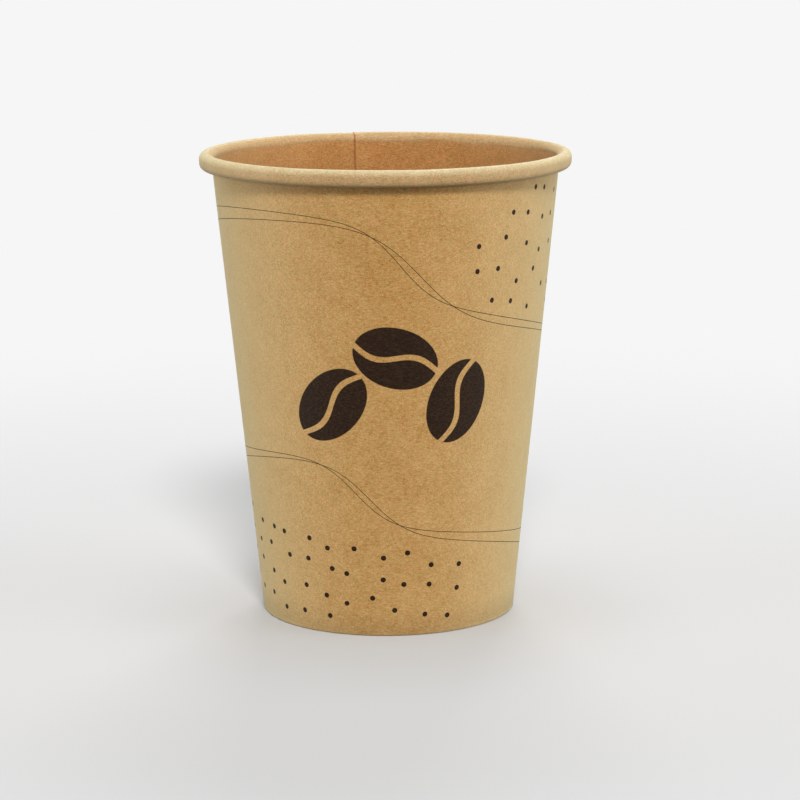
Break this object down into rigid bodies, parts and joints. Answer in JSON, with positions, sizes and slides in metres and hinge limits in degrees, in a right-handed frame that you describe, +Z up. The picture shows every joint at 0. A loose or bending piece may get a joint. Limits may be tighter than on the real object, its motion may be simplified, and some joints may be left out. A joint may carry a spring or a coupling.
{
  "type": "paper coffee cup",
  "caption": "Tapered single-wall kraft paper cup, open at the top, with a rolled rim, a lapped side seam and a recessed board base, for one hot drink.",
  "frame": {"origin": "centre of the foot, on the table", "axes": "+Z up along the cup's axis, -Y towards the printed front, +X to the right of someone who faces that front"},
  "size_m": [0.09, 0.09, 0.113],
  "materials": {
    "sidewall_board": "uncoated kraft board, printed outside, coated inside",
    "base_board": "coated kraft board"
  },
  "bodies": {
    "root": {"sidewall": "sidewall_board", "base_disc": "base_board"}
  },
  "joints": []
}
